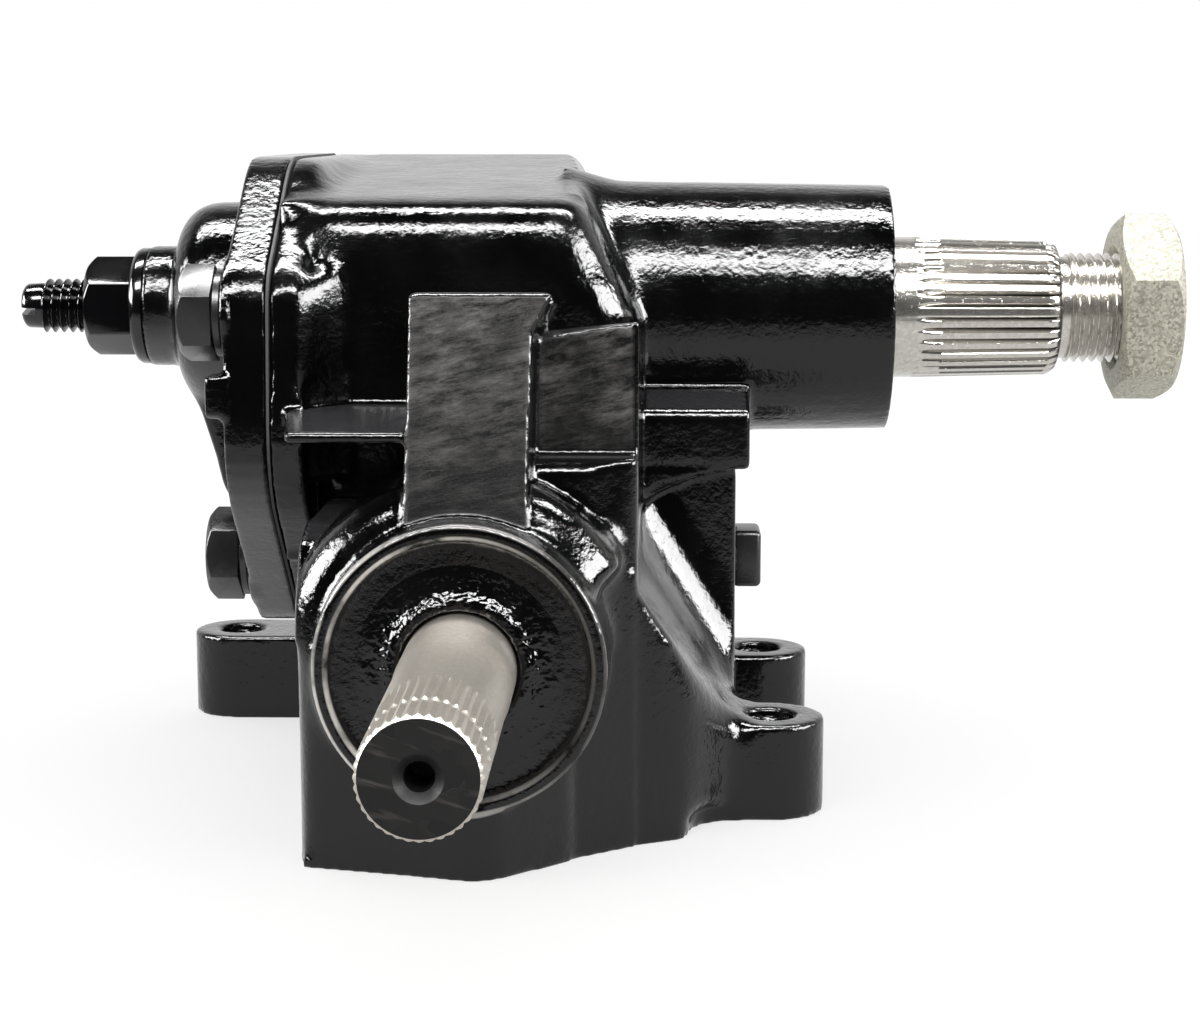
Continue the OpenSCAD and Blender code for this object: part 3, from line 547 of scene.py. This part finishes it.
# Smoothing passes for each kind of zone
A_LITTLE = 60
A_LOT = 200
casting("gear_housing", "housing_paint", front_enamel,
        {A_LITTLE: [BOSS_ROOT, RAMP],
         A_LOT: [FLANGE_VALLEY, CHAMBER_EDGE, FLANGE_TOP, TOE, NOSE_END, CHIN_CORNER]},
        [toe_fill])
casting("side_cover", "cover_paint", enamel, {A_LITTLE: [COVER_WEB]})

# Pitman shaft: tapered spline with a wide tooth every quarter turn, then the thread for the nut

JOURNAL_FROM = 60
JOURNAL_R = 14.19
SPLINE_TEETH = 36
SPLINE_FROM, SPLINE_FULL, SPLINE_TO = 84.4, 89.5, 113.4
SPLINE_R = 14.2
SPLINE_DEPTH = 1.15
# Half width of a tooth's land, as a share of the teeth's spacing
LAND = 0.27
WIDE_LAND = 0.44
TAPER_FROM = 86
TAPER_LENGTH = 27.6
TAPER_DROP = 0.65
NUT_THREAD_R = 11.05
NUT_THREAD_FROM = 115.5
NUT_THREAD_END = 135.9
NUT_SEAT = 125.2
NUT_THICK = 11.8
NUT_FLATS = 33.3
NUT_TURN = 10


def spline_radius(along):
    return SPLINE_R - TAPER_DROP * max(0, along - TAPER_FROM) / TAPER_LENGTH


def pitman_limit(along, turn):
    if SPLINE_FROM < along < SPLINE_TO + 0.2:
        tooth = round(turn * SPLINE_TEETH)
        off = abs(turn * SPLINE_TEETH - tooth)
        land = WIDE_LAND if tooth % (SPLINE_TEETH // 4) == 0 else LAND
        rise = max(0, (SPLINE_FULL - along) / (SPLINE_FULL - SPLINE_FROM)) ** 2 * SPLINE_DEPTH
        groove = max(0, (off - land) / (0.5 - land)) ** 0.7 * SPLINE_DEPTH - rise
        return spline_radius(along) - max(0, groove)
    return thread_limit(along, turn, NUT_THREAD_FROM, NUT_THREAD_END, NUT_THREAD_R, THREAD_PITCH)


profile = [(JOURNAL_FROM, 0), (JOURNAL_FROM, JOURNAL_R), (79, JOURNAL_R), (SPLINE_FROM, JOURNAL_R)]
profile += [(a, spline_radius(a)) for a in spread(SPLINE_FROM + 0.3, 111.4, 30)]
profile += [(112.4, 13.2), (113.2, 12.6), (113.55, 11.8), (113.6, 10.4), (NUT_THREAD_FROM, 10.2)]
profile += [(a, NUT_THREAD_R) for a in spread(115.7, 134.6, 170)]
profile += [(NUT_THREAD_END, 9.8), (NUT_THREAD_END, 0)]
outer = turned("pitman_outer", profile, X_AXIS, PITMAN_AXIS, 288)
cut_teeth(outer, X_AXIS, PITMAN_AXIS, pitman_limit)
# The sector and the rest of the shaft come from the solid, cut off inside the journal
inner = copy_of("sector_shaft", "pitman_inner")
only(inner)
bpy.ops.object.mode_set(mode="EDIT")
bpy.ops.mesh.select_all(action="SELECT")
bpy.ops.mesh.bisect(plane_co=((JOURNAL_FROM + 1) * MM, 0, 0), plane_no=(1, 0, 0), clear_outer=True,
                    use_fill=True)
bpy.ops.object.mode_set(mode="OBJECT")
tidy(inner)
shaft = joined("sector_shaft_cut", [outer, inner])
smooth(shaft)
finish(shaft, "pitman", "pitman_steel", bright_steel, "sector_shaft")

nut_at = PITMAN_AXIS + X_AXIS * (NUT_SEAT * MM)
nut = hexagon("pitman_nut_forged", nut_at, X_AXIS, NUT_THICK, NUT_FLATS, NUT_TURN, (1.6, 2.2))
bore = [(-1, 0), (-1, 12.6), (0.01, 12.6), (1.2, 11.2), (10.6, 11.2), (11.79, 12.4), (13, 12.4), (13, 0)]
carve(nut, turned("bore", bore, X_AXIS, nut_at))
break_edges(nut, 0.25)
smooth(nut)
finish(nut, "pitman", "zinc_nut", zinc, "pitman_nut")

# Input shaft: fine serrations with a ring groove for the clamp bolt

SERRATIONS = 36
SERRATION_DEPTH = 0.45
INPUT_END = -169
INPUT_R = 9.525
# Counted from the free end: where the serrations start to run out, where they end, and three profiles
SERRATION_FULL = 21
SERRATION_END = 26
CENTRE_HOLE = [(9, 0), (8.6, 1.9), (1.5, 2.3), (0.4, 3.2), (0, 3.7)]
END_RIM = [(0, 8.8), (0.3, 9.2), (0.7, 9.4)]
CLAMP_GROOVE = [(9.1, 9.2), (9.6, 9.02), (10.4, 9.02), (10.9, 9.2)]
# The sawn end and its hole, which look dull
SAWN_DEPTH = 9.5
SAWN_R = 8.7
# Thicker length behind the free end, and the thinner core that runs on through the worm
STEP_FROM, STEP_TO, STEP_R = -114.95, -47, 9.8
CORE_END, CORE_R = 72, 6.8


def input_limit(along, turn):
    depth = along - INPUT_END
    if depth > SERRATION_END:
        return UNCUT
    off = abs(turn * SERRATIONS - round(turn * SERRATIONS)) * 2
    rise = max(0, (depth - SERRATION_FULL) / (SERRATION_END - SERRATION_FULL)) ** 2 * SERRATION_DEPTH
    return INPUT_R - 0.02 - max(0, off * SERRATION_DEPTH - rise)


from_end = CENTRE_HOLE + END_RIM + [(a, INPUT_R) for a in spread(1.6, 8.8, 8)] + CLAMP_GROOVE
from_end += [(a, INPUT_R) for a in spread(11.2, 26.2, 24)]
profile = [(a + INPUT_END, r) for a, r in from_end]
profile += [(STEP_FROM, INPUT_R), (-114.4, STEP_R), (-48, STEP_R), (STEP_TO, 9.4), (STEP_TO, CORE_R)]
profile += [(71.2, CORE_R), (CORE_END, 6.2), (CORE_END, 0)]
shaft = turned("input_shaft_ground", profile, Y_AXIS, WORM_AXIS, 288)
cut_teeth(shaft, Y_AXIS, WORM_AXIS, input_limit)
smooth(shaft)
finish(shaft, "steering_input", "input_steel", ground_steel, "input_shaft")
shaft.data.materials.append(end_steel)
for face in shaft.data.polygons:
    off_axis = face.center - WORM_AXIS - Y_AXIS * face.center.y
    if face.center.y < (INPUT_END + SAWN_DEPTH) * MM and off_axis.length < SAWN_R * MM:
        face.material_index = 1

# Cover bolts and washers

COVER_FACE = -47
BOLT_SEAT = -48.9
BOLT_END = -31
BOLT_HEAD = 6.4
BOLT_FLATS = 16
BOLT_R = 4.7
WASHER_R = 8.2
WASHER_HOLE_R = 4.9
heads = []
rings = []
for y, z, turn in BOLT_SITES:
    at = Vector((0, y, z)) * MM
    top = at + X_AXIS * ((BOLT_SEAT - BOLT_HEAD) * MM)
    head = hexagon("head", top, X_AXIS, BOLT_HEAD, BOLT_FLATS, turn, (1.2, 0))
    break_edges(head, 0.3)
    shank = [(BOLT_SEAT - 1, 0), (BOLT_SEAT - 1, BOLT_R), (-31.5, BOLT_R), (BOLT_END, 4.2), (BOLT_END, 0)]
    heads += [head, turned("shank", shank, X_AXIS, at, 48)]
    ring = [(BOLT_SEAT, WASHER_HOLE_R), (BOLT_SEAT, 7.7), (-48.5, WASHER_R), (-47.4, WASHER_R),
            (COVER_FACE, 7.8), (COVER_FACE, WASHER_HOLE_R), (BOLT_SEAT, WASHER_HOLE_R)]
    rings.append(turned("ring", ring, X_AXIS, at, 64))
bolts = joined("cover_bolts_forged", heads)
smooth(bolts)
finish(bolts, "housing", "fastener_paint", fastener_paint, "cover_bolts")
washers = joined("cover_bolt_washers_stamped", rings)
smooth(washers)
finish(washers, "housing", "fastener_paint", fastener_paint, "cover_bolt_washers")

# Lash adjuster and its lock nut

LOCK_END = -83
LOCK_LENGTH = 9.9
LOCK_FLATS = 17.5
LOCK_BORE_R = 5.6
COLLAR_R = 11.8
ADJUSTER_END = -96.6
ADJUSTER_R = 5.5
# Where the adjuster's thread starts and ends, counted outwards from the worm's axis
ADJUSTER_THREAD = (60, 92.4)
lock_at = PITMAN_AXIS + X_AXIS * (LOCK_END * MM)
lock = hexagon("lock", lock_at, X_AXIS, LOCK_LENGTH, LOCK_FLATS, 0, (1.5, 0))
break_edges(lock, 0.3)
bore = [(-84, 0), (-84, 6.4), (LOCK_END, 6.4), (-82.2, LOCK_BORE_R), (-70, LOCK_BORE_R), (-70, 0)]
carve(lock, turned("bore", bore, X_AXIS, PITMAN_AXIS, 64))
collar = [(-73.3, LOCK_BORE_R), (-73.3, 10.6), (-72.8, 11.4), (-72, COLLAR_R), (-70.6, COLLAR_R),
          (-70.3, 11.5), (-70.3, LOCK_BORE_R), (-73.3, LOCK_BORE_R)]
lock = joined("adjuster_locknut_forged", [lock, turned("collar", collar, X_AXIS, PITMAN_AXIS, 72)])
smooth(lock)
finish(lock, "housing", "adjuster_paint", nut_paint, "adjuster_locknut")


def adjuster_limit(along, turn):
    return thread_limit(-along, turn, *ADJUSTER_THREAD, ADJUSTER_R, THREAD_PITCH)


profile = [(ADJUSTER_END, 0), (ADJUSTER_END, 3.6), (-96.2, 4.2), (-95.6, 4.5), (-92.8, 4.6), (-92.4, 4.6)]
profile += [(a, ADJUSTER_R) for a in spread(-92.2, -70, 180)]
profile += [(-56.4, ADJUSTER_R), (-56.3, 7.1), (-53.7, 7.1), (-53.6, 6.8), (-53.6, 0)]
screw = turned("lash_adjuster_screw_cut", profile, X_AXIS, PITMAN_AXIS, 72)
cut_teeth(screw, X_AXIS, PITMAN_AXIS, adjuster_limit)
# Slot for the screwdriver
carve(screw, block((-96.1, 0, SECTOR_Z), (5, 20, 1.4), (12, 0, 0)))
smooth(screw)
finish(screw, "lash_adjuster", "adjuster_paint", nut_paint, "lash_adjuster_screw")

# Filler plug with its square head

PLUG_Z = 39.8
plug = block((51.5, 0, PLUG_Z), (5.8, 11.6, 11.6))
apply(plug, "BEVEL", width=1.1 * MM, segments=4)
shank = [(37, 0), (37, 5.7), (37.5, 6.15), (49.5, 6.15), (49.5, 0)]
plug = joined("filler_plug_forged", [plug, turned("shank", shank, X_AXIS, Vector((0, 0, PLUG_Z)) * MM, 48)])
smooth(plug)
finish(plug, "housing", "fastener_paint", fastener_paint, "filler_plug")

# Threads in the feet

FOOT_PITCH = 1.5
FOOT_THREAD_R = 4.62
FOOT_THREAD_DEPTH = 0.55
for number, (x, y) in enumerate(FOOT_SITES):
    at = Vector((x, y, 0)) * MM
    profile = [(0.6, 5.0), (0.6, 4.6)]
    profile += [(a, FOOT_THREAD_R) for a in spread(1, 17, 110)]
    profile += [(17.4, 4.6), (17.4, 5.0), (0.6, 5.0)]
    liner = turned("foot_thread_%d" % number, profile, Z_AXIS, at, 48)
    for point in liner.data.vertices:
        out = Vector((point.co.x - at.x, point.co.y - at.y, 0))
        along = point.co.z / MM
        if out.length < 4.7 * MM and 1.5 < along < 16.5:
            turn = math.atan2(out.y, out.x) / (2 * math.pi)
            wave = abs((along / FOOT_PITCH - turn) % 1 - 0.5) * 2
            out *= (FOOT_THREAD_R - FOOT_THREAD_DEPTH * wave) * MM / out.length - 1
            point.co += out
    smooth(liner)
    finish(liner, "housing", "housing_paint", enamel)

# Rear plug and its lock nut, with their edges broken

for node, name in (("bearing_adjuster_plug", "bearing_adjuster_plug_turned"),
                   ("adjuster_plug_locknut", "adjuster_plug_locknut_forged")):
    piece = copy_of(node, name)
    break_edges(piece, 0.4)
    smooth(piece)
    finish(piece, "housing", "fastener_paint", fastener_paint, node)

# Solids that no new piece stands for get the look of their slot

for part in frame["record"]["subparts"]:
    solid = frame["nodes"][part["node"]]
    if not solid.hide_render:
        solid.data.materials.clear()
        solid.data.materials.append(INNER_LOOKS[part["material_slot"]])

# Studio: white floor and backdrop, a softbox overhead, one in front and one on each side

bpy.ops.object.select_all(action="DESELECT")
bpy.ops.mesh.primitive_plane_add(size=1, location=(0.05, 1.6, 0))
floor = bpy.context.active_object
floor.name = "studio_floor"
floor.scale = (1, 4.26, 1)
bpy.ops.object.transform_apply(location=True, rotation=False, scale=True)
floor_paint, tree, shader, place = new_material("matt_white_floor")
shader.inputs["Base Color"].default_value = srgb("#ababab")
shader.inputs["Emission Color"].default_value = srgb("#ffffff")
shader.inputs["Emission Strength"].default_value = 0.62
shader.inputs["Roughness"].default_value = 1.0
shader.inputs["Specular IOR Level"].default_value = 0.0
# Its front edge fades, so that its reflection ends softly
reach = add(tree, "MapRange", {"Value": add(tree, "SeparateXYZ", {"Vector": place}).outputs["Y"],
                               "From Min": -0.48, "From Max": -0.19})
tree.links.new(reach.outputs["Result"], shader.inputs["Alpha"])
floor.data.materials.append(floor_paint)


def softbox(name, at, aim, size, power):
    data = bpy.data.lights.new(name, "AREA")
    data.shape = "RECTANGLE"
    data.size, data.size_y = size
    data.energy = power
    lamp = bpy.data.objects.new(name, data)
    bpy.context.scene.collection.objects.link(lamp)
    lamp.location = at
    lamp.rotation_euler = (Vector(aim) - Vector(at)).to_track_quat("-Z", "Y").to_euler()
    lamp.visible_camera = False
    lamp.visible_diffuse = False


softbox("overhead_softbox", (0, 0.15, 1.0), (0, 0.15, 0.06), (1.4, 0.18), 36)
softbox("front_softbox", (0, -0.76, 0.87), (0, 0, 0.09), (1.4, 0.26), 45)
softbox("right_softbox", (0.95, -0.25, 0.38), (0, -0.04, 0.08), (0.8, 0.4), 30)
softbox("left_softbox", (-0.95, -0.25, 0.38), (0, -0.04, 0.08), (0.8, 0.4), 30)

world = bpy.data.worlds.new("studio")
bpy.context.scene.world = world
world.use_nodes = True
tree = world.node_tree
tree.nodes.clear()
path = add(tree, "LightPath")
around = add(tree, "SeparateXYZ", {"Vector": add(tree, "TexCoord").outputs["Generated"]})
back = add(tree, "MapRange", {"Value": around.outputs["Y"], "From Min": 0.1, "From Max": 0.5, "To Min": 0.02,
                              "To Max": 1.0})
low = add(tree, "MapRange", {"Value": around.outputs["Z"], "From Min": 0.45, "From Max": 0.75, "To Min": 1.0,
                             "To Max": 0.05})
seen = add(tree, "Math", {0: back.outputs["Result"], 1: low.outputs["Result"]}, operation="MULTIPLY")
plain = add(tree, "MapRange", {"Value": path.outputs["Is Camera Ray"], "To Min": 1.15, "To Max": 1.0})
level = add(tree, "Mix", {"Factor": path.outputs["Is Glossy Ray"], "A": plain.outputs["Result"],
                          "B": seen.outputs["Value"]}, data_type="FLOAT")
sky = add(tree, "Background", {"Color": srgb("#ffffff"), "Strength": level.outputs["Result"]})
add(tree, "OutputWorld", {"Surface": sky.outputs["Background"]})

lens = bpy.data.cameras.new("photo_camera")
lens.sensor_fit = "HORIZONTAL"
lens.sensor_width = SENSOR_MM
lens.lens = FOCAL_PX * SENSOR_MM / PHOTO_W
camera = bpy.data.objects.new("photo_camera", lens)
bpy.context.scene.collection.objects.link(camera)
camera.location = CAMERA_AT
camera.rotation_euler = (math.pi / 2 - CAMERA_DOWN, 0, CAMERA_LEFT)
bpy.context.scene.camera = camera
bpy.context.scene.view_settings.view_transform = "Standard"
